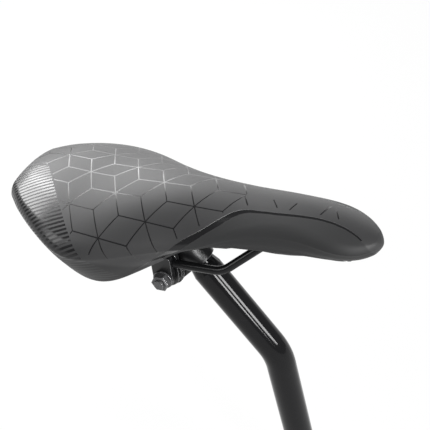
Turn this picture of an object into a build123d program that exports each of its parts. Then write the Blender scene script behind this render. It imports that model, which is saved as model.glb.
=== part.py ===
from build123d import *
import math
import os

os.makedirs("parts", exist_ok=True)

# A bicycle saddle on a layback seat post. Millimetres, X forward, Y to the rider's left, Z up.
# The origin is on the axis of the straight shaft, in the middle of the length that the frame grips.

# Seat post: a straight shaft, one bend backwards, then a swaged neck for the clamp.
post_d = 25.4
post_wall = 2.2
neck_d = 22.2
neck_wall = 1.8
neck_length = 25.0
swage_length = 7.0
seat_lean = 13.3
layback_lean = 40.4
grip_length = 120.0
shaft_rise = 150.0
layback_rise = 128.8
bend_radius = 50.0

# Clamp: a split block round the neck, and a bolt across behind it.
strap_width = 19.0
strap_wall = 2.9
strap_fit = 0.05
strap_top_gap = 3.0
strap_reach = 18.2
strap_slot = 3.0
lug_d = 25.0
disc_d = 26.0
disc_thickness = 1.2
disc_teeth = 40
tooth_width = 0.8
tooth_depth = 0.9
tooth_gap = 0.3
bolt_d = 8.0
bolt_fit = 0.1
bolt_overhang = 1.8
nut_across_flats = 13.0
nut_thickness = 5.5
nut_chamfer = 0.8
washer_d = 16.0
washer_thickness = 1.5

# Rails: round bars, straight through the clamp, rising to the nose and to the tail.
# Their places are given along the straight part from the bolt, and up from it.
rail_d = 7.0
rail_spacing = 44.0
rail_pitch = 5.2
rail_height = 13.3
rail_fit = 0.1
rail_flat_front = 49.8
rail_flat_rear = 38.0
rail_bend_radius = 20.0
rail_nose_along = 93.0
rail_nose_half_gap = 9.0
rail_nose_rise = 32.0
rail_tail_along = -90.0
rail_tail_half_gap = 30.0
rail_tail_rise = 28.5

# Ears that pinch each rail between an inner and an outer plate.
inner_ear_length = 22.0
inner_foot_r = 11.0
outer_ear_length = 17.0
outer_foot_r = 8.5
ear_top_wall = 4.5
ear_split_gap = 1.2
ear_outer_wall = 2.0
ear_corner_r = 3.0

# Saddle: cross sections from the tail to the nose, X measured from the bolt, Z from the rails.
cover_wall = 4.5
pad_thickness = 14.0
base_wall = 2.5
least_corner_r = 2.0
solid_end_rows = 2
#           x      half  crown  crown_r  corner_r  edge_z  edge_half
stations = [
    (-127.0, 33.7, 54.0, 108.0, 10.6, 13.0, 26.3),
    (-116.0, 43.7, 57.1, 116.9, 10.9, 8.9, 32.1),
    (-104.0, 53.0, 59.1, 126.2, 11.4, 4.3, 37.5),
    (-84.0, 65.5, 60.1, 140.2, 12.6, -3.4, 44.4),
    (-58.0, 74.6, 60.1, 134.8, 14.3, -12.3, 48.7),
    (-22.0, 64.1, 62.5, 90.3, 14.6, -1.1, 50.5),
    (22.0, 42.3, 65.2, 44.8, 13.8, 22.7, 30.2),
    (66.0, 29.5, 65.3, 36.1, 11.8, 33.0, 26.7),
    (110.0, 25.8, 64.5, 45.9, 10.5, 31.7, 16.7),
    (142.0, 24.1, 58.5, 47.2, 7.4, 31.7, 9.7),
    (155.0, 13.5, 53.4, 29.4, 5.7, 37.1, 6.9),
    (160.8, 5.3, 50.4, 15.9, 4.8, 41.2, 5.0),
]

# Bosses that carry the rail ends under the base, and ribs that stiffen its roof.
socket_wall = 3.5
socket_overlap = 11.0
socket_fit = 0.1
boss_height = 40.0
rib_thickness = 2.0
rib_foot_z = 38.0
rib_places = [-80.0, -50.0, -20.0, 10.0, 40.0]

# Places worked out from the sizes above.
lean_a = math.radians(seat_lean)
lean_b = math.radians(layback_lean)
pitch = math.radians(rail_pitch)
shaft_up = Vector(-math.sin(lean_a), 0, math.cos(lean_a))
neck_up = Vector(-math.sin(lean_b), 0, math.cos(lean_b))
neck_back = Vector(-math.cos(lean_b), 0, -math.sin(lean_b))
rail_dir = Vector(math.cos(pitch), 0, math.sin(pitch))
rail_up = Vector(-math.sin(pitch), 0, math.cos(pitch))
shaft_foot = shaft_up * (-grip_length / 2)
bend_corner = shaft_up * shaft_rise
neck_top = bend_corner + neck_up * layback_rise
neck_root = neck_top - neck_up * neck_length
swage_root = neck_root - neck_up * swage_length
strap_centre = neck_top - neck_up * (strap_top_gap + strap_width / 2)
bolt_centre = strap_centre + neck_back * strap_reach
rail_z = bolt_centre.Z + rail_height
strap_r = neck_d / 2 + strap_fit
lug_outer = strap_r + strap_wall
ear_inner_y = lug_outer + disc_thickness + tooth_gap + disc_thickness
rail_y = rail_spacing / 2
ear_outer_y = rail_y + rail_d / 2 + ear_outer_wall
nut_y = ear_outer_y + washer_thickness
bolt_end_y = nut_y + nut_thickness + bolt_overhang
print("neck top", neck_top, "strap", strap_centre, "bolt", bolt_centre, "rail z", rail_z)


def finish(builder, name):
    """Label a finished piece and write it to its own file."""
    builder.part.label = name
    export_step(builder.part, "parts/" + name + ".step")


def rail_point(along, across, up):
    """Point given along the rails from the bolt, across the saddle, and up from the rails' axis."""
    return bolt_centre + rail_dir * along + rail_up * (rail_height + up) + Vector(0, across, 0)


def rail_corners(hand):
    """Corners of one rail's centre line, from its nose end to its tail end."""
    return [
        rail_point(rail_nose_along, hand * rail_nose_half_gap, rail_nose_rise),
        rail_point(rail_flat_front, hand * rail_y, 0),
        rail_point(-rail_flat_rear, hand * rail_y, 0),
        rail_point(rail_tail_along, hand * rail_tail_half_gap, rail_tail_rise),
    ]


def toothed_disc():
    """Sketch of a disc with a serrated rim."""
    with BuildSketch(Plane.XY) as disc:
        Circle(disc_d / 2)
        with PolarLocations(disc_d / 2, disc_teeth):
            Rectangle(2 * tooth_depth, tooth_width, mode=Mode.SUBTRACT)
    return disc.sketch


def ear_profile(foot_r, length):
    """Side view of an ear: a round foot about the bolt, hulled with the block that holds the rail."""
    with BuildSketch(Plane.XY) as profile:
        Circle(foot_r)
        with Locations((0, rail_height)):
            RectangleRounded(length, rail_d + 2 * ear_top_wall, ear_corner_r)
        make_hull()
    return profile.sketch


def section(half, crown, crown_r, corner_r, edge_z, edge_half):
    """Cross section of the saddle: crown arc, two corner arcs, two side lines and a flat foot."""
    run = crown_r - corner_r
    corner_y = half - corner_r
    corner_z = crown - crown_r + math.sqrt(run * run - corner_y * corner_y)
    away_y = corner_y / run
    away_z = (corner_z - (crown - crown_r)) / run
    join = (corner_y + corner_r * away_y, corner_z + corner_r * away_z)
    mid_angle = math.atan2(away_z, away_y) / 2
    middle = (
        corner_y + corner_r * math.cos(mid_angle),
        corner_z + corner_r * math.sin(mid_angle),
    )
    side = (half, corner_z)
    foot = (edge_half, edge_z)
    with BuildSketch(Plane.XY) as profile:
        with BuildLine():
            Line(foot, side)
            ThreePointArc(side, middle, join)
            ThreePointArc(join, (0, crown), (-join[0], join[1]))
            ThreePointArc((-join[0], join[1]), (-middle[0], middle[1]), (-side[0], side[1]))
            Line((-side[0], side[1]), (-foot[0], foot[1]))
            Line((-foot[0], foot[1]), foot)
        make_face()
    return profile.sketch


def station_plane(x):
    """Upright plane across the saddle at X, its own X along Y and its own Y along Z."""
    origin = (bolt_centre.X + x, 0, rail_z)
    return Plane(origin=origin, x_dir=(0, 1, 0), z_dir=(1, 0, 0))


def inset_stations(side, top, end):
    """The inner stations moved inwards by a wall at the sides, the top and the ends, down at the foot."""
    rows = []
    for x, half, crown, crown_r, corner_r, edge_z, edge_half in stations[solid_end_rows:-solid_end_rows]:
        corner = max(corner_r - side, least_corner_r)
        rows.append([x, half - side, crown - top, crown_r - side, corner, edge_z - side, edge_half - side])
    rows[0][0] += end
    rows[-1][0] -= end
    return rows


def shell(rows):
    """Loft of the sections in the rows, as one solid."""
    with BuildPart() as body:
        for x, half, crown, crown_r, corner_r, edge_z, edge_half in rows:
            with BuildSketch(station_plane(x)):
                add(section(half, crown, crown_r, corner_r, edge_z, edge_half))
        loft()
    return body.part


# Seat post: a bent tube, swaged at its top to the neck.
with BuildPart() as seat_post:
    with BuildLine() as post_line:
        FilletPolyline(shaft_foot, bend_corner, swage_root, radius=bend_radius)
    with BuildSketch(Plane(origin=shaft_foot, z_dir=shaft_up)):
        Circle(post_d / 2)
        Circle(post_d / 2 - post_wall, mode=Mode.SUBTRACT)
    sweep(path=post_line.line)
    with BuildSketch(Plane(origin=swage_root, z_dir=neck_up)):
        Circle(post_d / 2)
    with BuildSketch(Plane(origin=neck_root, z_dir=neck_up)):
        Circle(neck_d / 2)
    loft()
    with BuildSketch(Plane(origin=neck_root, z_dir=neck_up)):
        Circle(neck_d / 2)
    extrude(amount=neck_length)
    with BuildSketch(Plane(origin=swage_root, z_dir=neck_up)):
        Circle(post_d / 2 - post_wall)
    with BuildSketch(Plane(origin=neck_root, z_dir=neck_up)):
        Circle(neck_d / 2 - neck_wall)
    loft(mode=Mode.SUBTRACT)
    with BuildSketch(Plane(origin=neck_root, z_dir=neck_up)):
        Circle(neck_d / 2 - neck_wall)
    extrude(amount=neck_length, mode=Mode.SUBTRACT)
finish(seat_post, "seat_post")

# Strap: a split block round the neck, its two lugs round the bolt.
strap_plane = Plane(origin=strap_centre, x_dir=neck_back, z_dir=neck_up)
side_plane = Plane(origin=bolt_centre, x_dir=neck_back, z_dir=(0, 1, 0))
with BuildPart() as clamp_strap:
    with BuildSketch(strap_plane.offset(-strap_width / 2)):
        Circle(lug_outer)
    extrude(amount=strap_width)
    with BuildSketch(side_plane.offset(-lug_outer)):
        Circle(lug_d / 2)
        with Locations((-strap_reach / 2, 0)):
            Rectangle(strap_reach, strap_width)
        make_hull()
    extrude(amount=2 * lug_outer)
    with BuildSketch(strap_plane.offset(-strap_width)):
        Circle(strap_r)
        with Locations((strap_reach, 0)):
            Rectangle(2 * strap_reach, strap_slot)
    extrude(amount=2 * strap_width, mode=Mode.SUBTRACT)
    with BuildSketch(side_plane.offset(-2 * lug_outer)):
        Circle(bolt_d / 2 + bolt_fit)
    extrude(amount=4 * lug_outer, mode=Mode.SUBTRACT)
finish(clamp_strap, "clamp_strap")

# Bolt: a plain rod through the lugs and the ears.
with BuildPart() as clamp_bolt:
    with BuildSketch(side_plane.offset(-bolt_end_y)):
        Circle(bolt_d / 2)
    extrude(amount=2 * bolt_end_y)
finish(clamp_bolt, "clamp_bolt")

for side_name, hand in [("left", 1), ("right", -1)]:
    bolt_plane = Plane(origin=bolt_centre, x_dir=rail_dir * -hand, z_dir=(0, hand, 0))
    seat_start = rail_point(-inner_ear_length, hand * rail_y, 0)
    seat_plane = Plane(origin=seat_start, z_dir=rail_dir)

    # Serrated disc on the strap's lug.
    with BuildPart() as lug_disc:
        with BuildSketch(bolt_plane.offset(lug_outer)):
            add(toothed_disc())
            Circle(bolt_d / 2 + bolt_fit, mode=Mode.SUBTRACT)
        extrude(amount=disc_thickness)
    finish(lug_disc, "lug_disc_" + side_name)

    # Inner ear: a serrated disc on its inner side, and half of the rail's seat at its top.
    with BuildPart() as inner_ear:
        with BuildSketch(bolt_plane.offset(ear_inner_y - disc_thickness)):
            add(toothed_disc())
        extrude(amount=disc_thickness)
        with BuildSketch(bolt_plane.offset(ear_inner_y)):
            add(ear_profile(inner_foot_r, inner_ear_length))
        extrude(amount=rail_y - ear_split_gap / 2 - ear_inner_y)
        with BuildSketch(seat_plane):
            Circle(rail_d / 2 + rail_fit)
        extrude(amount=2 * inner_ear_length, mode=Mode.SUBTRACT)
        with BuildSketch(bolt_plane):
            Circle(bolt_d / 2 + bolt_fit)
        extrude(amount=bolt_end_y, mode=Mode.SUBTRACT)
    finish(inner_ear, "inner_ear_" + side_name)

    # Outer ear: the other half of the rail's seat, pressed in by the washer.
    with BuildPart() as outer_ear:
        with BuildSketch(bolt_plane.offset(rail_y + ear_split_gap / 2)):
            add(ear_profile(outer_foot_r, outer_ear_length))
        extrude(amount=ear_outer_y - rail_y - ear_split_gap / 2)
        with BuildSketch(seat_plane):
            Circle(rail_d / 2 + rail_fit)
        extrude(amount=2 * inner_ear_length, mode=Mode.SUBTRACT)
        with BuildSketch(bolt_plane):
            Circle(bolt_d / 2 + bolt_fit)
        extrude(amount=bolt_end_y, mode=Mode.SUBTRACT)
    finish(outer_ear, "outer_ear_" + side_name)

    # Washer and nut on the end of the bolt.
    with BuildPart() as washer:
        with BuildSketch(bolt_plane.offset(ear_outer_y)):
            Circle(washer_d / 2)
            Circle(bolt_d / 2 + bolt_fit, mode=Mode.SUBTRACT)
        extrude(amount=washer_thickness)
    finish(washer, "washer_" + side_name)

    with BuildPart() as nut:
        with BuildSketch(bolt_plane.offset(nut_y)):
            RegularPolygon(nut_across_flats / 2, 6, major_radius=False)
            Circle(bolt_d / 2, mode=Mode.SUBTRACT)
        extrude(amount=nut_thickness)
        chamfer(nut.faces().sort_by(Axis.Y)[-1 if hand > 0 else 0].outer_wire().edges(), nut_chamfer)
    finish(nut, "nut_" + side_name)

    # Rail: a round bar, bent up and inwards at the nose, up and outwards at the tail.
    corners = rail_corners(hand)
    with BuildPart() as rail:
        with BuildLine() as rail_line:
            FilletPolyline(*corners, radius=rail_bend_radius)
        with BuildSketch(Plane(origin=corners[0], z_dir=corners[1] - corners[0])):
            Circle(rail_d / 2)
        sweep(path=rail_line.line)
    finish(rail, "rail_" + side_name)

# Cover and padding: the outer form less the hollow that the base fills from below.
outer_form = shell(stations)
hollow_form = shell(inset_stations(cover_wall, pad_thickness, 0))
base_hollow = shell(inset_stations(cover_wall + base_wall, pad_thickness + base_wall, base_wall))
with BuildPart() as saddle_cover:
    add(outer_form)
    add(hollow_form, mode=Mode.SUBTRACT)
finish(saddle_cover, "saddle_cover")

# Base: a moulded shell that backs the padding, open below, with ribs and with bosses for the rails.
boss_reach = rail_d / 2 + socket_wall
boss_length = socket_overlap + socket_wall
nose_left = rail_corners(1)[0]
tail_left = rail_corners(1)[-1]
with BuildPart() as inner_works:
    with BuildSketch(Plane.XY.offset(nose_left.Z - boss_reach)):
        with Locations((nose_left.X - socket_overlap / 2, 0)):
            Rectangle(boss_length, 2 * (rail_nose_half_gap + boss_reach))
    extrude(amount=boss_height)
    with BuildSketch(Plane.XY.offset(tail_left.Z - boss_reach)):
        for hand in (1, -1):
            with Locations((tail_left.X + socket_overlap / 2, hand * rail_tail_half_gap)):
                Rectangle(boss_length, 2 * boss_reach)
    extrude(amount=boss_height)
    with BuildSketch(Plane.XY.offset(rail_z + rib_foot_z)):
        for place in rib_places:
            with Locations((bolt_centre.X + place, 0)):
                Rectangle(rib_thickness, 2 * stations[4][1])
    extrude(amount=boss_height)
    add(hollow_form, mode=Mode.INTERSECT)
with BuildPart() as saddle_base:
    add(hollow_form)
    add(base_hollow, mode=Mode.SUBTRACT)
    add(inner_works.part)
    add(outer_form, mode=Mode.INTERSECT)
    for hand in (1, -1):
        nose_end, front_bend, rear_bend, tail_end = rail_corners(hand)
        for end, bend in ((nose_end, front_bend), (tail_end, rear_bend)):
            with BuildSketch(Plane(origin=end, z_dir=bend - end)):
                Circle(rail_d / 2 + socket_fit)
            extrude(amount=2 * socket_overlap, mode=Mode.SUBTRACT)
finish(saddle_base, "saddle_base")
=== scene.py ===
import logging
import math
from dataclasses import dataclass
from enum import Enum
from typing import Sequence, Union

import bpy
import numpy as np
from mathutils import Matrix, Vector


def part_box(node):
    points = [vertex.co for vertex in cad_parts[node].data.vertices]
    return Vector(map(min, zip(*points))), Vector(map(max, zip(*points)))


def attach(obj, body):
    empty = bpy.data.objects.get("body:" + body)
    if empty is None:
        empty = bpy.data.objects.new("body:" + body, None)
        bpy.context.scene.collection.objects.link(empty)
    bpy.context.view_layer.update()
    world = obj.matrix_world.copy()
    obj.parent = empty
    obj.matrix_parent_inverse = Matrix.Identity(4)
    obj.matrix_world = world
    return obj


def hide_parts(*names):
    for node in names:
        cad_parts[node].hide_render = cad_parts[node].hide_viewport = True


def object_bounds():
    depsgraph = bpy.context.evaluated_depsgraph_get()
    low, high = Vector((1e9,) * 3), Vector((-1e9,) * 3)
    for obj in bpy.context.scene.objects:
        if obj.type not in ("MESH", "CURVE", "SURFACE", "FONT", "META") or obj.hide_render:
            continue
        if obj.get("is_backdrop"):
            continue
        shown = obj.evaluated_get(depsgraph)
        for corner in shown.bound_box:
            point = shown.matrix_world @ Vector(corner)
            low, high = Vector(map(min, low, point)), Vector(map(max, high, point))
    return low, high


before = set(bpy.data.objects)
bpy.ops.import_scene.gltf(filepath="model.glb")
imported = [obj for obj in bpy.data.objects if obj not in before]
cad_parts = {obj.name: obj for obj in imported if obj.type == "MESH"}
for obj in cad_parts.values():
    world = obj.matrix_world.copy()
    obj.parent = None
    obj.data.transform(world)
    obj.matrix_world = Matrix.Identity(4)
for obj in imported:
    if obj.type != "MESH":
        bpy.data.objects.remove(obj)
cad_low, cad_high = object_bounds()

log = logging.getLogger("saddle_scene")
MM = 0.001
# The cover's UV map, and the mm of skin in one unit of it.
SKIN_MAP = "skin"
SKIN_UNIT = 100.0


class Body(Enum):
    """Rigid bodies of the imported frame."""

    POST = "post"
    CLAMP = "clamp"
    SADDLE = "saddle"


class Signal:
    """An output socket that takes part in ordinary arithmetic."""

    def __init__(self, graph: "Graph", socket: bpy.types.NodeSocket) -> None:
        """Keep the graph that the socket belongs to."""
        self.graph = graph
        self.socket = socket

    def __add__(self, other: "Number") -> "Signal":
        """Sum."""
        return self.graph.maths("ADD", self, other)

    def __sub__(self, other: "Number") -> "Signal":
        """Difference."""
        return self.graph.maths("SUBTRACT", self, other)

    def __mul__(self, other: "Number") -> "Signal":
        """Product."""
        return self.graph.maths("MULTIPLY", self, other)

    def __truediv__(self, other: "Number") -> "Signal":
        """Quotient."""
        return self.graph.maths("DIVIDE", self, other)

    def __rsub__(self, other: "Number") -> "Signal":
        """Difference with the number first."""
        return self.graph.maths("SUBTRACT", other, self)

    def __rtruediv__(self, other: "Number") -> "Signal":
        """Quotient with the number first."""
        return self.graph.maths("DIVIDE", other, self)

    __radd__ = __add__
    __rmul__ = __mul__

    def absolute(self) -> "Signal":
        """Size without sign."""
        return self.graph.maths("ABSOLUTE", self)

    def sine(self) -> "Signal":
        """Sine, in radians."""
        return self.graph.maths("SINE", self)

    def wrap(self, high: float, low: float) -> "Signal":
        """The value brought into the range from low to high by whole steps."""
        return self.graph.maths("WRAP", self, high, low)

    def least(self, other: "Number") -> "Signal":
        """The smaller of two."""
        return self.graph.maths("MINIMUM", self, other)

    def most(self, other: "Number") -> "Signal":
        """The larger of two."""
        return self.graph.maths("MAXIMUM", self, other)

    def ramp(self, low: float, high: float) -> "Signal":
        """Smooth step: 0 at low and before it, 1 at high and past it. High may be under low."""
        start, end = (low, high) if low < high else (high, low)
        node = self.graph.node(
            "ShaderNodeMapRange",
            {"Value": self, "From Min": start, "From Max": end},
            interpolation_type="SMOOTHSTEP",
        )
        rising = Signal(self.graph, node.outputs["Result"])
        return rising if low < high else 1.0 - rising


Number = Union[Signal, float, int]
Colour = tuple[float, float, float]
# A size at each place along the saddle, and a stretch of outline: across and up, a row a place.
Column = np.ndarray
Stretch = tuple[np.ndarray, np.ndarray]


class Graph:
    """The node tree of one material, built from a Principled shader."""

    def __init__(self, name: str) -> None:
        """Make the material with its shader and nothing else."""
        self.material = bpy.data.materials.new(name)
        self.material.use_nodes = True
        self.tree = self.material.node_tree
        self.tree.nodes.clear()
        self.shader = self.node("ShaderNodeBsdfPrincipled")
        output = self.node("ShaderNodeOutputMaterial")
        self.tree.links.new(self.shader.outputs["BSDF"], output.inputs["Surface"])

    def node(self, kind: str, inputs: dict | None = None, **settings: object) -> bpy.types.Node:
        """Add one node of any kind.

        Args:
            kind: Blender's class name of the node.
            inputs: Value, colour or signal for each input, by name or number.
            settings: Properties of the node itself.

        Returns:
            The new node.
        """
        made = self.tree.nodes.new(kind)
        for key, value in settings.items():
            setattr(made, key, value)
        for key, value in (inputs or {}).items():
            self.feed(made.inputs[key], value)
        return made

    def feed(self, socket: bpy.types.NodeSocket, value: object) -> None:
        """Link a signal to a socket, or set a plain value on it."""
        if isinstance(value, Signal):
            self.tree.links.new(value.socket, socket)
        else:
            socket.default_value = value

    def maths(self, operation: str, *values: Number) -> Signal:
        """One Math node, its inputs in order."""
        made = self.node("ShaderNodeMath", dict(enumerate(values)), operation=operation)
        return Signal(self, made.outputs[0])

    def vector_maths(self, operation: str, *values: object) -> Signal:
        """One Vector Math node, its inputs in order; the dot product and length give a number."""
        made = self.node("ShaderNodeVectorMath", dict(enumerate(values)), operation=operation)
        number = operation in ("DOT_PRODUCT", "LENGTH", "DISTANCE")
        return Signal(self, made.outputs["Value" if number else "Vector"])

    def colour_mix(self, factor: Number, low: object, high: object) -> Signal:
        """Colour that goes from low to high as factor goes from 0 to 1."""
        # A Mix node's colours go in at numbers 6 and 7 and come out at number 2.
        made = self.node("ShaderNodeMix", data_type="RGBA")
        for key, value in ((0, factor), (6, low), (7, high)):
            plain = isinstance(value, tuple) and len(value) == 3
            self.feed(made.inputs[key], (*value, 1.0) if plain else value)
        return Signal(self, made.outputs[2])

    def place(self) -> Signal:
        """Object coordinates, in metres."""
        return Signal(self, self.node("ShaderNodeTexCoord").outputs["Object"])

    def split(self, vector: Signal) -> tuple[Signal, Signal, Signal]:
        """The three parts of a vector."""
        made = self.node("ShaderNodeSeparateXYZ", {0: vector})
        return tuple(Signal(self, made.outputs[i]) for i in range(3))

    def noise(self, where: Signal, size: float, detail: float = 2.0) -> Signal:
        """Soft noise from 0 to 1 whose patches are about size across, in metres."""
        made = self.node(
            "ShaderNodeTexNoise",
            {"Vector": where, "Scale": 1.0 / size, "Detail": detail},
        )
        return Signal(self, made.outputs["Fac"])

    def cells(self, where: Signal, size: float) -> Signal:
        """Distance to the nearest of many scattered points, size apart, in metres."""
        made = self.node("ShaderNodeTexVoronoi", {"Vector": where, "Scale": 1.0 / size})
        return Signal(self, made.outputs["Distance"])

    def relief(self, height: Signal, depth: float, base: Signal | None = None) -> Signal:
        """Bumped normal.

        Args:
            height: Height from 0 to 1.
            depth: Depth of the relief, in metres.
            base: Normal that the bump is laid over.

        Returns:
            The normal.
        """
        inputs = {"Height": height, "Distance": depth, "Strength": 1.0}
        if base is not None:
            inputs["Normal"] = base
        return Signal(self, self.node("ShaderNodeBump", inputs).outputs["Normal"])

    def finish(self, **inputs: object) -> bpy.types.Material:
        """Set the shader's inputs by name, with underscores for spaces, and return the material."""
        for key, value in inputs.items():
            plain = isinstance(value, tuple) and len(value) == 3
            self.feed(self.shader.inputs[key.replace("_", " ")], (*value, 1.0) if plain else value)
        return self.material


def smooth_curve(x: np.ndarray, knots: np.ndarray, values: np.ndarray) -> np.ndarray:
    """Natural cubic spline through values at knots.

    Each stretch of length h, from value a to b and from slope m to n, is
    (2t^3 - 3t^2 + 1) a + (t^3 - 2t^2 + t) h m + (3t^2 - 2t^3) b + (t^3 - t^2) h n.
    The slopes are those that bend the curve alike on both sides of each knot, and not at its ends.

    Args:
        x: Places to read the curve at.
        knots: Rising places of the values.
        values: Values at the knots.

    Returns:
        The curve's values at x.
    """
    steps = np.diff(knots)
    rises = np.diff(values) / steps
    count = len(knots)
    inner = np.arange(1, count - 1)
    system = np.zeros((count, count))
    system[inner, inner - 1] = steps[1:]
    system[inner, inner] = 2.0 * (steps[1:] + steps[:-1])
    system[inner, inner + 1] = steps[:-1]
    system[0, :2] = 2.0, 1.0
    system[-1, -2:] = 1.0, 2.0
    right = np.concatenate(
        [[3.0 * rises[0]], 3.0 * (steps[1:] * rises[:-1] + steps[:-1] * rises[1:]), [3.0 * rises[-1]]]
    )
    slopes = np.linalg.solve(system, right)
    at = np.clip(np.searchsorted(knots, x) - 1, 0, len(knots) - 2)
    step = knots[at + 1] - knots[at]
    t = (x - knots[at]) / step
    leave = (2 * t**3 - 3 * t**2 + 1) * values[at] + (t**3 - 2 * t**2 + t) * step * slopes[at]
    arrive = (3 * t**2 - 2 * t**3) * values[at + 1] + (t**3 - t**2) * step * slopes[at + 1]
    return leave + arrive


def grid_faces(rows: int, columns: int) -> np.ndarray:
    """Quads of a grid that is closed round its columns and open along its rows."""
    i, j = np.meshgrid(np.arange(rows - 1), np.arange(columns), indexing="ij")
    k = (j + 1) % columns
    quads = [i * columns + j, i * columns + k, (i + 1) * columns + k, (i + 1) * columns + j]
    return np.stack(quads, axis=-1).reshape(-1, 4)


def new_piece(name: str, points: np.ndarray, faces: list, material: bpy.types.Material) -> bpy.types.Object:
    """Make a smooth-shaded mesh object at the origin.

    Args:
        name: Name of the object and its mesh.
        points: Vertices, in metres, in the shared frame.
        faces: Lists of vertex numbers.
        material: The piece's material.

    Returns:
        The linked object.
    """
    mesh = bpy.data.meshes.new(name)
    mesh.from_pydata(points.tolist(), [], faces)
    mesh.polygons.foreach_set("use_smooth", np.ones(len(mesh.polygons), bool))
    mesh.materials.append(material)
    mesh.validate()
    made = bpy.data.objects.new(name, mesh)
    bpy.context.scene.collection.objects.link(made)
    return made


@dataclass(frozen=True)
class PrintedSkin:
    """Matte synthetic leather with gloss printed lines. Lengths in mm over the unrolled skin."""

    leather: Colour = (0.017, 0.0170, 0.0176)
    # Painted shade: a darker colour for the skirts below the side line and for the skin past the crease
    # under the wings.
    shaded_skirt: Colour = (0.009, 0.0092, 0.0096)
    ink: Colour = (0.004, 0.004, 0.0045)
    tone_range: tuple[float, float] = (0.90, 1.12)
    specular: float = 0.4
    leather_roughness: float = 0.52
    ink_roughness: float = 0.20
    uneven: float = 0.05
    skirt_rougher: float = 0.12
    under_rougher: float = 0.30
    grain_size: float = 0.9
    fine_size: float = 0.45
    grain_share: float = 0.6
    cloud_size: float = 38.0
    worn_size: float = 9.0
    worn_from: tuple[float, float] = (0.62, 0.80)
    relief_depth: float = 0.06
    ink_height: float = 0.55
    side_depth: float = 0.35
    line_half: float = 0.42
    dash_half: float = 0.52
    line_soft: float = 0.18
    lattice_side: float = 20.82
    lattice_nose: float = 62.0
    lattice_margin: float = 4.2
    lattice_wing: float = 79.0
    lattice_left: float = 70.0
    lattice_fade: float = 1.0
    left_drop: float = 7.0
    drop_over: tuple[float, float] = (60.0, 90.0)
    drop_soft: float = 2.0
    skirt_soft: float = 1.0
    # Past this width across, under the wings, the skin takes the darker colour as painted shade.
    crease: float = 88.0
    crease_soft: float = 4.0
    under_soft: float = 6.0
    stripe_pitch: float = 3.5
    stripe_share: float = 0.60
    stripe_angle: float = 33.0
    panel_start: float = 8.8
    panel_x: float = -105.0
    panel_slope: float = 1.17
    panel_gap: float = 1.5
    edge_spread: float = 120.0
    tail_fade: float = 2.0
    nose_fade: float = 1.0

    # How the skin is stretched over the form: a star's centre, then the parts along, across,
    # along squared, along times across, and across squared.
    stretch_along = (65.79, 0.9729, -0.0858, -0.000150, -0.000575, -0.001749)
    stretch_across = (42.14, -0.0331, 1.0431, -0.000362, -0.000050, 0.001597)
    # Side line, from the wing to the nose: place along, upper and lower edge across.
    side_line = (
        (-14.0, 97.0, 106.0),
        (-6.2, 87.7, 97.0),
        (7.4, 70.8, 80.0),
        (23.0, 50.5, 58.3),
        (37.5, 37.4, 42.8),
        (50.0, 25.5, 31.2),
        (57.5, 19.4, 24.0),
        (64.7, 16.2, 19.4),
        (76.0, 14.8, 17.1),
        (90.0, 13.3, 15.6),
        (104.4, 11.2, 13.4),
        (120.8, 9.2, 11.3),
        (131.5, 9.2, 11.2),
        (140.8, 10.5, 12.3),
        (148.5, 13.4, 14.6),
    )
    # Short dashes on the nose: place of each end along and across.
    dashes = (
        (60.2, -4.9, 64.7, -12.2),
        (81.2, -2.5, 85.7, -9.1),
        (95.0, -8.9, 97.9, -1.1),
        (116.6, -5.7, 120.8, 7.3),
        (125.0, 5.3, 128.9, -3.9),
    )

    def side_edge(self, graph: Graph, along: Signal, column: int) -> Signal:
        """Edge of the side line across the skin, as a curve of the place along it.

        Args:
            graph: The material's node tree.
            along: Place along the skin.
            column: Column of the side line's table, 1 for its upper edge and 2 for its lower.

        Returns:
            The edge's place across.
        """
        places = [row[0] for row in self.side_line]
        edges = [row[column] for row in self.side_line]
        node = graph.node("ShaderNodeFloatCurve")
        share = (along - places[0]) / (places[-1] - places[0])
        graph.feed(node.inputs["Value"], share)
        curve = node.mapping.curves[0]
        while len(curve.points) < len(places):
            curve.points.new(0.5, 0.5)
        for point, place, edge in zip(curve.points, places, edges):
            point.location = ((place - places[0]) / (places[-1] - places[0]), edge / self.edge_spread)
        node.mapping.update()
        return Signal(graph, node.outputs["Value"]) * self.edge_spread

    def block_distance(self, graph: Graph, along: Signal, across: Signal) -> Signal:
        """Distance to the nearest line of a tumbling block lattice, in mm.

        The skin is cut into hexagons round six-armed stars. In each hexagon the nearest of its
        three diagonals is the nearest line.

        Args:
            graph: The material's node tree.
            along: Place along the skin.
            across: Place across it, to the left.

        Returns:
            The distance.
        """
        side = self.lattice_side
        lean = math.sqrt(3.0) / 2.0
        row = side * lean
        u, v = (
            k[0] + along * (k[1] + k[3] * along + k[4] * across) + across * (k[2] + k[5] * across)
            for k in (self.stretch_along, self.stretch_across)
        )
        first = (u.wrap(1.5 * side, -1.5 * side), v.wrap(row, -row))
        second = (
            (u - 1.5 * side).wrap(1.5 * side, -1.5 * side),
            (v - row).wrap(row, -row),
        )
        first_size = first[0] * first[0] + first[1] * first[1]
        second_size = second[0] * second[0] + second[1] * second[1]
        nearer = graph.maths("LESS_THAN", second_size, first_size)
        x = first[0] + nearer * (second[0] - first[0])
        y = first[1] + nearer * (second[1] - first[1])
        rising = (x * lean - y * 0.5).absolute()
        falling = (x * lean + y * 0.5).absolute()
        return y.absolute().least(rising).least(falling)

    def dash_distance(self, along: Signal, across: Signal, ends: Sequence[float]) -> Signal:
        """Distance to a short straight dash, in mm.

        Args:
            along: Place along the skin.
            across: Place across it.
            ends: Place along and across of one end, then of the other.

        Returns:
            The distance.
        """
        x0, y0, x1, y1 = ends
        length = math.hypot(x1 - x0, y1 - y0)
        cosine, sine = (x1 - x0) / length, (y1 - y0) / length
        middle_x, middle_y = (x0 + x1) / 2.0, (y0 + y1) / 2.0
        lengthwise = (along - middle_x) * cosine + (across - middle_y) * sine
        sideways = (across - middle_y) * cosine - (along - middle_x) * sine
        past = (lengthwise.absolute() - length / 2.0).most(0.0)
        return sideways.absolute().most(past)

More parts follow.
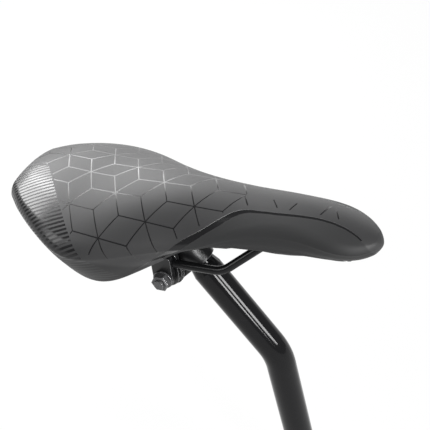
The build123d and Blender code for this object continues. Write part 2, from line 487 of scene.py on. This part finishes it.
    def side_band(self, along: Signal, width: Signal, upper: Signal, lower: Signal) -> Signal:
        """Mask of the gloss side line, between its two edges and its two ends."""
        soft = self.line_soft
        between = (width - upper).ramp(-soft, soft) * (lower - width).ramp(-soft, soft)
        nose_end = self.side_line[-1][0]
        return between * self.tail_end(along) * along.ramp(nose_end, nose_end - self.nose_fade)

    def tail_end(self, along: Signal) -> Signal:
        """Mask that ends the side line and the skirt towards the tail."""
        start = self.side_line[0][0]
        return along.ramp(start, start + self.tail_fade)

    def stripes(self, along: Signal, across: Signal, panel_edge: Signal) -> Signal:
        """Mask of the slanted stripes in the panel on the right of the tail."""
        soft = self.line_soft
        panel = (panel_edge + across).ramp(soft, -soft)
        turn = math.radians(self.stripe_angle)
        run = along * math.sin(turn) + across.absolute() * math.cos(turn)
        tooth = (run / self.stripe_pitch).wrap(1.0, 0.0)
        edge = soft / self.stripe_pitch
        share = self.stripe_share
        return tooth.ramp(0.0, 2 * edge) * tooth.ramp(share + edge, share - edge) * panel

    def lattice(
        self, graph: Graph, along: Signal, across: Signal, upper: Signal, panel_edge: Signal
    ) -> Signal:
        """Mask of the lattice's lines, kept clear of the side line, the panel, the wings and the nose.

        Args:
            graph: The material's node tree.
            along: Place along the skin.
            across: Place across it, to the left.
            upper: Upper edge of the side line, across.
            panel_edge: Edge of the striped panel, to the right.

        Returns:
            The mask.
        """
        soft, fade = self.line_soft, self.lattice_fade
        width = across.absolute()
        line = self.block_distance(graph, along, across).ramp(self.line_half + soft, self.line_half - soft)
        line = line * (upper - width).ramp(self.lattice_margin - fade, self.lattice_margin)
        line = line * (panel_edge + across).ramp(self.panel_gap, self.panel_gap + fade)
        line = line * width.ramp(self.lattice_wing, self.lattice_wing - fade)
        line = line * across.ramp(self.lattice_left, self.lattice_left - fade)
        return line * along.ramp(self.lattice_nose, self.lattice_nose - 2.0 * fade)

    def make(self) -> bpy.types.Material:
        """Material of the saddle's cover; its UV map holds places along and across."""
        graph = Graph("printed_skin")
        uv = graph.node("ShaderNodeUVMap", uv_map=SKIN_MAP)
        along, across, _ = graph.split(Signal(graph, uv.outputs["UV"]))
        along, across = along * SKIN_UNIT, across * SKIN_UNIT
        width = across.absolute()
        upper = self.side_edge(graph, along, 1)
        lower = self.side_edge(graph, along, 2)
        # On the left of the nose the line runs lower, out of the photograph's sight.
        drop = across.ramp(0.0, self.drop_soft) * along.ramp(*self.drop_over) * self.left_drop
        side = self.side_band(along, width - drop, upper, lower)
        panel_edge = ((along - self.panel_x) * self.panel_slope).most(0.0) + self.panel_start
        printed = self.lattice(graph, along, across, upper, panel_edge)
        soft = self.line_soft
        for ends in self.dashes:
            apart = self.dash_distance(along, across, ends)
            printed = printed.most(apart.ramp(self.dash_half + soft, self.dash_half - soft))
        ink = side.most(self.stripes(along, across, panel_edge)).most(printed)
        # Painted shade mask: the skirt panel below the side line and all skin past the crease under the
        # wings take the darker skirt colour. The skirt panel is also rougher.
        shaded_skirt = (width - drop - lower).ramp(-self.skirt_soft, self.skirt_soft) * self.tail_end(along)
        shaded_skirt = shaded_skirt.most(width.ramp(self.crease - self.crease_soft, self.crease + self.crease_soft))
        under = width.ramp(self.crease - self.under_soft, self.crease + self.under_soft)

        where = graph.place()
        cloud = graph.noise(where, self.cloud_size * MM, detail=3.0)
        worn = graph.noise(where, self.worn_size * MM, detail=4.0).ramp(*self.worn_from)
        tone = graph.colour_mix(cloud, *(tuple(t * c for c in self.leather) for t in self.tone_range))
        # The skin's colour: random tone, painted shade on the skirts and under the wings, then the ink.
        colour = graph.colour_mix(ink, graph.colour_mix(shaded_skirt, tone, self.shaded_skirt), self.ink)
        rough = self.leather_roughness + self.uneven * (cloud + worn) + self.skirt_rougher * shaded_skirt
        ink_rough = self.ink_roughness + self.uneven * cloud + self.under_rougher * under
        grain = graph.cells(where, self.grain_size * MM) * self.grain_share
        fine = graph.noise(where, self.fine_size * MM, detail=3.0) * (1.0 - self.grain_share)
        bare_height = grain + fine
        height = bare_height + ink * (self.ink_height - bare_height)
        normal = graph.relief(height, self.relief_depth * MM)
        normal = graph.relief(1.0 - side, self.side_depth * MM, normal)
        return graph.finish(
            Base_Color=colour,
            Roughness=rough + ink * (ink_rough - rough),
            Normal=normal,
            Specular_IOR_Level=self.specular,
        )


@dataclass(frozen=True)
class GlossPaint:
    """Gloss black paint over round steel. Sizes and depths in mm."""

    name: str
    colour: Colour = (0.006, 0.006, 0.0065)
    roughness: float = 0.05
    specular: float = 0.18
    peel_size: float = 2.2
    peel_depth: float = 0.012
    dust_size: float = 0.7
    dust_from: tuple[float, float] = (0.68, 0.80)
    dust_lighter: float = 0.02
    dust_rougher: float = 0.18
    smear_size: float = 30.0
    smear_rougher: float = 0.06
    scratch_rougher: float = 0.10
    dust_cover: float = 0.5
    scratch_cover: float = 0.3
    hair_count: tuple[float, float, float] = (60.0, 60.0, 2600.0)
    hair_from: tuple[float, float] = (0.70, 0.76)
    wrinkle_at: tuple[float, float, float] | None = None
    wrinkle_rate: float = 0.9
    wrinkle_over: tuple[float, float] = (16.0, 4.0)
    wrinkle_depth: float = 0.25

    def make(self) -> bpy.types.Material:
        """Material with faint orange peel, dust and hair scratches, and the bend's wrinkles."""
        graph = Graph(self.name)
        where = graph.place()
        peel = graph.noise(where, self.peel_size * MM, detail=2.0)
        dust = graph.noise(where, self.dust_size * MM, detail=4.0).ramp(*self.dust_from)
        smear = graph.noise(where, self.smear_size * MM, detail=4.0)
        hair = graph.noise(graph.vector_maths("MULTIPLY", where, self.hair_count), 1.0)
        scratch = hair.ramp(*self.hair_from)
        dusty = tuple(c + self.dust_lighter for c in self.colour)
        normal = graph.relief(peel, self.peel_depth * MM)
        if self.wrinkle_at is not None:
            away = graph.vector_maths("DISTANCE", where, self.wrinkle_at) / MM
            ripple = (away * self.wrinkle_rate).sine() * away.ramp(*self.wrinkle_over)
            normal = graph.relief(ripple * 0.5 + 0.5, self.wrinkle_depth * MM, normal)
        rough = self.roughness + self.smear_rougher * smear
        rough = rough + self.dust_rougher * dust + self.scratch_rougher * scratch
        cover = dust * self.dust_cover + scratch * self.scratch_cover
        return graph.finish(
            Base_Color=graph.colour_mix(cover, self.colour, dusty),
            Roughness=rough,
            Normal=normal,
            Specular_IOR_Level=self.specular,
        )


@dataclass(frozen=True)
class PlatedSteel:
    """Black plated steel whose corners are worn bright. Sizes and depths in mm."""

    name: str
    plate: Colour = (0.006, 0.006, 0.0065)
    bare: Colour = (0.42, 0.42, 0.43)
    roughness: float = 0.34
    metal: float = 0.2
    worn_metal: float = 0.7
    wear: float = 1.0
    worn_from: tuple[float, float] = (0.05, 0.16)
    corner_round: float = 0.45
    patch_size: float = 1.6
    patch_wear: float = 0.05
    grit_size: float = 0.35
    grit_depth: float = 0.02
    smear_size: float = 8.0
    smear_rougher: float = 0.12
    worn_smoother: float = 0.10
    thread_pitch: float = 0.0
    thread_depth: float = 0.5
    axis_point: tuple[float, float, float] = (0.0, 0.0, 0.0)

    def make(self) -> bpy.types.Material:
        """Material with rounded corners, worn edges and, on a bolt, a thread."""
        graph = Graph(self.name)
        where = graph.place()
        bevel = graph.node("ShaderNodeBevel", {"Radius": self.corner_round * MM}, samples=6)
        rounded = Signal(graph, bevel.outputs["Normal"])
        true = Signal(graph, graph.node("ShaderNodeNewGeometry").outputs["True Normal"])
        edge = 1.0 - graph.vector_maths("DOT_PRODUCT", rounded, true)
        patchy = graph.noise(where, self.patch_size * MM, detail=5.0)
        worn = (edge * self.wear + patchy * self.patch_wear).ramp(*self.worn_from)
        grit = graph.noise(where, self.grit_size * MM, detail=3.0)
        smear = graph.noise(where, self.smear_size * MM, detail=3.0)
        normal = graph.relief(grit, self.grit_depth * MM, rounded)
        if self.thread_pitch:
            x, y, z = graph.split(graph.vector_maths("SUBTRACT", where, self.axis_point))
            turns = graph.maths("ARCTAN2", z, x) / (2.0 * math.pi)
            thread = (y / (self.thread_pitch * MM) + turns).wrap(1.0, 0.0)
            ridge = (thread - 0.5).absolute() * 2.0
            normal = graph.relief(ridge, self.thread_depth * MM, normal)
        return graph.finish(
            Base_Color=graph.colour_mix(worn, self.plate, self.bare),
            Roughness=self.roughness + self.smear_rougher * smear - self.worn_smoother * worn,
            Metallic=worn * self.worn_metal + self.metal,
            Normal=normal,
        )


@dataclass(frozen=True)
class MouldedPlastic:
    """Black moulded plastic with an even spark grain. Sizes and depths in mm."""

    colour: Colour = (0.020, 0.020, 0.021)
    lighter: float = 1.7
    roughness: float = 0.50
    grain_size: float = 0.6
    grain_depth: float = 0.05
    flow_size: float = 25.0
    flow_paler: float = 0.5
    flow_rougher: float = 0.10
    scuff_size: float = 4.0
    scuff_from: tuple[float, float] = (0.60, 0.75)
    scuff_paler: float = 0.4
    scuff_smoother: float = 0.08

    def make(self) -> bpy.types.Material:
        """Material of the saddle's base."""
        graph = Graph("moulded_plastic")
        where = graph.place()
        grain = graph.cells(where, self.grain_size * MM)
        flow = graph.noise(where, self.flow_size * MM, detail=3.0)
        scuff = graph.noise(where, self.scuff_size * MM, detail=5.0).ramp(*self.scuff_from)
        pale = tuple(c * self.lighter for c in self.colour)
        paler = flow * self.flow_paler + scuff * self.scuff_paler
        return graph.finish(
            Base_Color=graph.colour_mix(paler, self.colour, pale),
            Roughness=self.roughness + self.flow_rougher * flow - self.scuff_smoother * scuff,
            Normal=graph.relief(grain, self.grain_depth * MM),
        )


@dataclass
class SaddleCover:
    """Padded top and skirts of the saddle: one skin over smooth cross sections, in mm."""

    # Place along from the bolt, half width, crown height over the rails, crown radius, corner
    # radius, height of the lower edge and half width at that edge.
    stations = np.array(
        [
            (-127.0, 33.7, 54.0, 108.0, 10.6, 13.0, 26.3),
            (-116.0, 43.7, 57.1, 116.9, 10.9, 8.9, 32.1),
            (-104.0, 53.0, 59.1, 126.2, 11.4, 4.3, 37.5),
            (-84.0, 65.5, 60.1, 140.2, 12.6, -3.4, 44.4),
            (-58.0, 74.6, 60.1, 134.8, 14.3, -12.3, 48.7),
            (-22.0, 64.1, 62.5, 90.3, 14.6, -1.1, 50.5),
            (22.0, 42.3, 65.2, 44.8, 13.8, 22.7, 30.2),
            (66.0, 29.5, 65.3, 36.1, 11.8, 33.0, 26.7),
            (110.0, 25.8, 64.5, 45.9, 10.5, 31.7, 16.7),
            (142.0, 24.1, 58.5, 47.2, 7.4, 31.7, 9.7),
            (155.0, 13.5, 53.4, 29.4, 5.7, 37.1, 6.9),
            (160.8, 5.3, 50.4, 15.9, 4.8, 41.2, 5.0),
        ]
    )
    bolt: tuple[float, float, float]
    rail_height: float = 13.3
    wall: float = 4.3
    pad: float = 13.7
    side_swell: float = 0.9
    foot_round: float = 3.0
    foot_share: float = 0.4
    lip_step: float = 0.3
    least_lip: float = 0.25
    arch_power: float = 0.8
    hollow_tail: float = -103.5
    hollow_nose: float = 141.5
    hollow_fade: float = 5.0
    tail_x: float = -126.0
    tail_bulge: float = 2.6
    tail_power: float = 9.0
    nose_x: float = 157.0
    nose_bulge: float = 4.5
    nose_power: float = 1.7
    rows_along: int = 250
    rows_cap: int = 12
    cap_tip: float = 0.01
    crown_points: int = 34
    corner_points: int = 15
    side_points: int = 17
    foot_points: int = 7
    wall_points: int = 6
    arch_points: int = 11

    def top(
        self, half: Column, crown: Column, crown_r: Column, corner_r: Column
    ) -> tuple[list[Stretch], Column]:
        """Crown arc from the middle of the top, and the corner arc that touches it.

        Args:
            half: Half width.
            crown: Height of the middle of the top.
            crown_r: Radius of the crown arc.
            corner_r: Radius of the corner arc.

        Returns:
            The two arcs, and the height of the corner arc's centre.
        """
        run = crown_r - corner_r
        corner_y = half - corner_r
        corner_z = crown - crown_r + np.sqrt(run**2 - corner_y**2)
        tip = np.arcsin(corner_y / run)
        turn = tip * np.linspace(0.0, 1.0, self.crown_points)
        crown_arc = (crown_r * np.sin(turn), crown - crown_r + crown_r * np.cos(turn))
        turn = tip + (math.pi / 2 - tip) * np.linspace(0.0, 1.0, self.corner_points)[1:]
        corner_arc = (corner_y + corner_r * np.sin(turn), corner_z + corner_r * np.cos(turn))
        return [crown_arc, corner_arc], corner_z

    def side(
        self, half: Column, corner_z: Column, edge_z: Column, edge_half: Column
    ) -> tuple[list[Stretch], Column]:
        """Side down from the corner arc, and the rounded foot.

        The side is a straight line, swollen outwards by swell times the square of the sine of
        half a turn along it. The foot is a parabola that touches the side and the lower edge.

        Args:
            half: Half width.
            corner_z: Height of the corner arc's centre.
            edge_z: Height of the lower edge.
            edge_half: Half width at the lower edge.

        Returns:
            The side and the foot, and how far across the foot ends.
        """
        side = np.hypot(edge_half - half, edge_z - corner_z)
        reach = np.minimum(self.foot_round, self.foot_share * side) / side
        share = np.linspace(0.0, 1.0, self.side_points)[1:] * (1.0 - reach)
        swell = self.side_swell * np.sin(math.pi * share / (1.0 - reach)) ** 2 / side
        down = (
            half + (edge_half - half) * share + swell * (corner_z - edge_z),
            corner_z + (edge_z - corner_z) * share - swell * (half - edge_half),
        )
        start_y, start_z = (value[:, -1:] for value in down)
        t = np.linspace(0.0, 1.0, self.foot_points)[1:]
        inward = edge_half - np.minimum(self.foot_round, self.foot_share * edge_half)
        foot = (
            (1 - t) ** 2 * start_y + 2 * t * (1 - t) * edge_half + t**2 * inward,
            (1 - t) ** 2 * start_z + (1 - (1 - t) ** 2) * edge_z,
        )
        return [down, foot], inward

    def underside(
        self, x: np.ndarray, sizes: Sequence[Column], corner_z: Column, inward: Column
    ) -> list[Stretch]:
        """The way back under the padding: up the inner side, then over an arch.

        The arch is high times the sine to a power, and wide times the cosine, over a quarter
        turn. Towards the tail and the nose all of it sinks to the foot's level.

        Args:
            x: Places along the saddle.
            sizes: Half width, crown height, height of the lower edge and half width there.
            corner_z: Height of the corner arc's centre.
            inward: How far across the foot ends.

        Returns:
            The inner side and the arch.
        """
        half, crown, edge_z, edge_half = sizes
        opened = np.clip(np.minimum(x - self.hollow_tail, self.hollow_nose - x) / self.hollow_fade, 0.0, 1.0)
        lift = (opened**2 * (3.0 - 2.0 * opened))[:, None]
        lip = np.minimum(edge_half - self.wall, inward - self.lip_step)
        lip = np.maximum(lip, self.least_lip * edge_half)
        hollow_z = corner_z - self.wall
        high = crown - self.pad - hollow_z
        knee = lip + (half - self.wall - lip) * lift
        knee_z = edge_z + (hollow_z - edge_z) * lift
        t = np.linspace(0.0, 1.0, self.wall_points)
        inner = (lip + (knee - lip) * t, edge_z + (knee_z - edge_z) * t)
        angle = math.pi / 2 * np.linspace(0.0, 1.0, self.arch_points)[1:]
        arch = (knee * np.cos(angle), knee_z + high * lift * np.sin(angle) ** self.arch_power)
        return [inner, arch]

    def rings(self, x: np.ndarray) -> tuple[np.ndarray, np.ndarray, np.ndarray]:
        """Closed cross sections at the places x.

        Half a section is, from the middle of the top: the crown arc, the corner arc, the side,
        the rounded foot, and then the way back under the padding. The other half is its mirror.

        Args:
            x: Places along the saddle.

        Returns:
            Across and up for each point of each ring, and the length of skin from the middle.
        """
        knots = self.stations[:, 0]
        sizes = [smooth_curve(x, knots, self.stations[:, i])[:, None] for i in range(1, 7)]
        half, crown, crown_r, corner_r, edge_z, edge_half = sizes
        arcs, corner_z = self.top(half, crown, crown_r, corner_r)
        sides, inward = self.side(half, corner_z, edge_z, edge_half)
        back = self.underside(x, (half, crown, edge_z, edge_half), corner_z, inward)
        parts = arcs + sides + back
        across = np.concatenate([part[0] for part in parts], axis=1)
        up = np.concatenate([part[1] for part in parts], axis=1)
        length = np.cumsum(np.hypot(np.diff(across, axis=1), np.diff(up, axis=1)), axis=1)
        length = np.concatenate([np.zeros((len(x), 1)), length], axis=1)
        across = np.concatenate([across, -across[:, -2:0:-1]], axis=1)
        up = np.concatenate([up, up[:, -2:0:-1]], axis=1)
        length = np.concatenate([length, -length[:, -2:0:-1]], axis=1)
        return across, up, length

    def cap(self, end: Sequence[np.ndarray], bulge: float, power: float) -> list[np.ndarray]:
        """Rings that shrink from an end ring to its middle.

        Each is the end ring times a share that falls from 1 as a cosine, pushed out by bulge
        times (1 - share^power). The last share is a small one instead of 0.

        Args:
            end: Along, across, up and length of skin of the end ring.
            bulge: How far the middle stands out, towards the nose where it is above 0.
            power: How late the bulge is reached; a high power gives a flat end.

        Returns:
            Along, across, up and length of skin of the rings.
        """
        share = np.cos(np.linspace(0.0, math.pi / 2, self.rows_cap))[1:, None]
        share[-1] = self.cap_tip
        along, across, up, length = end
        middle = (up.max() + up.min()) / 2
        return [
            along + bulge * (1.0 - share**power),
            across * share,
            middle + (up - middle) * share,
            length * share,
        ]

    def make(self, material: bpy.types.Material) -> bpy.types.Object:
        """Build the closed cover: rings from tail to nose, closer at the ends, and two caps.

        Args:
            material: The printed skin.

        Returns:
            The finished object.
        """
        spread = np.linspace(0.0, 1.0, self.rows_along)
        eased = spread - np.sin(2 * math.pi * spread) / (4 * math.pi)
        x = self.tail_x + (self.nose_x - self.tail_x) * eased
        across, up, length = self.rings(x)
        body = [np.repeat(x[:, None], across.shape[1], axis=1), across, up, length]
        tail = self.cap([part[0] for part in body], -self.tail_bulge, self.tail_power)
        nose = self.cap([part[-1] for part in body], self.nose_bulge, self.nose_power)
        along, across, up, length = (np.concatenate([t[::-1], b, n]) for t, b, n in zip(tail, body, nose))
        bolt_x, _, bolt_z = self.bolt
        rail_z = bolt_z + self.rail_height * MM
        points = np.stack([bolt_x + along * MM, across * MM, rail_z + up * MM], axis=-1)
        rows, columns = along.shape
        faces = grid_faces(rows, columns).tolist()
        faces.append(list(range(columns)))
        faces.append(list(range((rows - 1) * columns, rows * columns))[::-1])
        made = new_piece("padded_cover", points.reshape(-1, 3), faces, material)
        self.unroll(made, along, length)
        return made

    def unroll(self, made: bpy.types.Object, along: np.ndarray, length: np.ndarray) -> None:
        """Lay the UV map: place along, and length of skin across, in the skin's unit."""
        mesh = made.data
        layer = mesh.uv_layers.new(name=SKIN_MAP)
        corners = np.zeros(len(mesh.loops), np.int32)
        mesh.loops.foreach_get("vertex_index", corners)
        flat = np.stack([along.ravel(), length.ravel()], axis=-1)[corners] / SKIN_UNIT
        layer.data.foreach_set("uv", flat.astype(np.float32).ravel())


@dataclass
class Studio:
    """Pale floor, soft lights and the photograph's camera. Lengths in metres."""

    bolt: tuple[float, float, float]
    floor_z: float
    azimuth: float = 22.812
    elevation: float = 35.302
    roll: float = -1.418
    distance: float = 0.56724
    pixels_per_mm: float = 1.219
    bolt_pixel: tuple[float, float] = (177.575, 258.615)
    image_side: int = 430
    sensor: float = 36.0
    nearest: float = 0.01
    floor_half: float = 6.0
    floor_tone: float = 0.45
    floor_roughness: float = 0.9
    floor_glow: float = 0.9
    world_level: float = 0.30

    # Soft lamps that face the saddle: name, angle from forward round to the left and angle up in
    # degrees, distance, width, height, and brightness of the face, where 1 is white.
    lamps = (
        ("rear_softbox", 165.0, 40.0, 1.8, 0.9, 0.9, 15.0),
        ("back_softbox", 135.0, 36.0, 1.8, 0.9, 1.1, 9.0),
        ("left_wall", 98.0, 16.0, 2.0, 2.0, 1.0, 2.6),
        ("rear_strip", -134.0, 34.0, 1.6, 0.60, 1.2, 5.0),
        ("near_strip", -36.0, 19.0, 1.8, 0.28, 0.70, 32.0),
        ("far_strip", -13.0, 24.0, 1.8, 0.42, 0.78, 29.0),
    )

    def camera(self) -> None:
        """Place the camera so that the clamp bolt falls on its pixel of the photograph."""
        a, e, r = (math.radians(v) for v in (self.azimuth, self.elevation, self.roll))
        back = Vector((math.sin(a) * math.cos(e), -math.cos(a) * math.cos(e), math.sin(e)))
        right = Vector((math.cos(a), math.sin(a), 0.0))
        up = Vector((-math.sin(a) * math.sin(e), math.cos(a) * math.sin(e), math.cos(e)))
        right, up = right * math.cos(r) + up * math.sin(r), up * math.cos(r) - right * math.sin(r)
        middle = self.image_side / 2
        off_x = (self.bolt_pixel[0] - middle) / self.pixels_per_mm * MM
        off_y = (self.bolt_pixel[1] - middle) / self.pixels_per_mm * MM
        place = Vector(self.bolt) - right * off_x + up * off_y + back * self.distance
        data = bpy.data.cameras.new("photo_camera")
        data.sensor_width = self.sensor
        data.lens = self.sensor * self.pixels_per_mm * self.distance / MM / self.image_side
        data.clip_start = self.nearest
        made = bpy.data.objects.new("photo_camera", data)
        made.matrix_world = Matrix.Translation(place) @ Matrix((right, up, back)).transposed().to_4x4()
        bpy.context.scene.collection.objects.link(made)
        bpy.context.scene.camera = made

    def lamp(self, name: str, toward: Vector, away: float, size: tuple[float, float], level: float) -> None:
        """Add a rectangular soft lamp that faces the saddle.

        Args:
            name: The lamp's name.
            toward: Unit direction from the saddle to the lamp.
            away: Distance from the saddle, in metres.
            size: Width and height of the lamp's face, in metres.
            level: Brightness of its face, where 1 is white.
        """
        data = bpy.data.lights.new(name, "AREA")
        data.shape = "RECTANGLE"
        data.size, data.size_y = size
        data.energy = level * math.pi * size[0] * size[1]
        made = bpy.data.objects.new(name, data)
        facing = toward.to_track_quat("Z", "Y").to_matrix().to_4x4()
        made.matrix_world = Matrix.Translation(Vector(self.bolt) + toward * away) @ facing
        bpy.context.scene.collection.objects.link(made)

    def toward(self, azimuth: float, elevation: float) -> Vector:
        """Direction given by its angle from forward round to the left and its angle up, in degrees."""
        a, e = math.radians(azimuth), math.radians(elevation)
        return Vector((math.cos(a) * math.cos(e), math.sin(a) * math.cos(e), math.sin(e)))

    def floor(self) -> None:
        """White floor that shows white to the camera and keeps the object's soft shadow."""
        graph = Graph("studio_floor")
        tone = self.floor_tone
        graph.finish(Base_Color=(tone, tone, tone), Roughness=self.floor_roughness, Specular_IOR_Level=0.0)
        path = graph.node("ShaderNodeLightPath")
        rays = ("Is Camera Ray", "Is Glossy Ray", "Is Transmission Ray")
        camera, gloss, through = (Signal(graph, path.outputs[ray]) for ray in rays)
        seen = camera.most(gloss).most(through)
        glow = graph.node("ShaderNodeEmission", {"Color": (1.0, 1.0, 1.0, 1.0), "Strength": 1.0})
        mixed = graph.node("ShaderNodeMixShader", {0: seen * self.floor_glow})
        graph.tree.links.new(graph.shader.outputs["BSDF"], mixed.inputs[1])
        graph.tree.links.new(glow.outputs["Emission"], mixed.inputs[2])
        output = next(n for n in graph.tree.nodes if n.type == "OUTPUT_MATERIAL")
        graph.tree.links.new(mixed.outputs[0], output.inputs["Surface"])
        s, z = self.floor_half, self.floor_z
        corners = np.array([(-s, -s, z), (s, -s, z), (s, s, z), (-s, s, z)])
        new_piece("studio_floor", corners, [[0, 1, 2, 3]], graph.material)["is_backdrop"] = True

    def world(self) -> None:
        """Even pale light from all round, which the camera sees as white."""
        made = bpy.data.worlds.new("studio_world")
        made.use_nodes = True
        tree = made.node_tree
        background = tree.nodes["Background"]
        background.inputs["Color"].default_value = (1.0, 1.0, 1.0, 1.0)
        path = tree.nodes.new("ShaderNodeLightPath")
        level = tree.nodes.new("ShaderNodeMapRange")
        level.inputs["To Min"].default_value = self.world_level
        level.inputs["To Max"].default_value = 1.0
        tree.links.new(path.outputs["Is Camera Ray"], level.inputs["Value"])
        tree.links.new(level.outputs["Result"], background.inputs["Strength"])
        bpy.context.scene.world = made

    def build(self) -> None:
        """Set up the whole studio."""
        self.camera()
        self.floor()
        self.world()
        for name, azimuth, elevation, away, width, height, level in self.lamps:
            self.lamp(name, self.toward(azimuth, elevation), away, (width, height), level)
            log.info("lit %s", name)
        bpy.context.scene.view_settings.view_transform = "Standard"


@dataclass
class SaddleAndPost:
    """The whole object: the carried-over metal and plastic, and the new padded cover."""

    bolt: tuple[float, float, float]
    # Place of the bend's inner side in the post's box, as shares of its length and height.
    bend_share: tuple[float, float] = (0.52, 0.64)
    rail_roughness: float = 0.10
    clamp_roughness: float = 0.28
    hardware_plate: Colour = (0.05, 0.05, 0.052)
    bolt_plate: Colour = (0.06, 0.06, 0.062)
    bolt_pitch: float = 1.25
    disc_wear: float = 1.6

    def dress(self, nodes: Sequence[str], material: bpy.types.Material) -> None:
        """Give carried-over nodes one material."""
        for name in nodes:
            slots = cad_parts[name].data.materials
            slots.clear()
            slots.append(material)
            log.info("dressed %s in %s", name, material.name)

    def pairs(self, *kinds: str) -> list[str]:
        """Names of the left and right nodes of each kind."""
        return [f"{kind}_{side}" for kind in kinds for side in ("left", "right")]

    def dress_metal(self) -> None:
        """Paint the post and the rails, and plate the clamp with its hardware."""
        self.dress(["seat_post"], GlossPaint("gloss_tube", wrinkle_at=self.inner_bend()).make())
        self.dress(self.pairs("rail"), GlossPaint("gloss_rail", roughness=self.rail_roughness).make())
        clamp = PlatedSteel("plated_clamp", roughness=self.clamp_roughness)
        self.dress(["clamp_strap"] + self.pairs("inner_ear", "outer_ear"), clamp.make())
        self.dress(self.pairs("lug_disc"), PlatedSteel("toothed_disc", wear=self.disc_wear).make())
        hardware = PlatedSteel("black_hardware", plate=self.hardware_plate, roughness=self.clamp_roughness)
        self.dress(self.pairs("washer", "nut"), hardware.make())
        thread = PlatedSteel(
            "threaded_bolt", plate=self.bolt_plate, thread_pitch=self.bolt_pitch, axis_point=self.bolt
        )
        self.dress(["clamp_bolt"], thread.make())

    def build(self) -> None:
        """Dress every node and add the cover."""
        self.dress_metal()
        self.dress(["saddle_base"], MouldedPlastic().make())
        cover = SaddleCover(self.bolt).make(PrintedSkin().make())
        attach(cover, Body.SADDLE.value)
        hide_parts("saddle_cover")
        log.info("made %s", cover.name)

    def inner_bend(self) -> tuple[float, float, float]:
        """Place on the post's surface at the inner side of its bend."""
        low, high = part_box("seat_post")
        along, up = self.bend_share
        return low.x + along * (high.x - low.x), 0.0, low.z + up * (high.z - low.z)


def main() -> None:
    """Build the object and the studio, and measure the box of the visual model."""
    logging.basicConfig(level=logging.INFO, format="%(name)s: %(message)s")
    low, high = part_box("clamp_bolt")
    bolt = tuple((low + high) / 2)
    SaddleAndPost(bolt).build()
    Studio(bolt, floor_z=cad_low.z - MM).build()
    low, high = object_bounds()


if __name__ == "__main__":
    main()
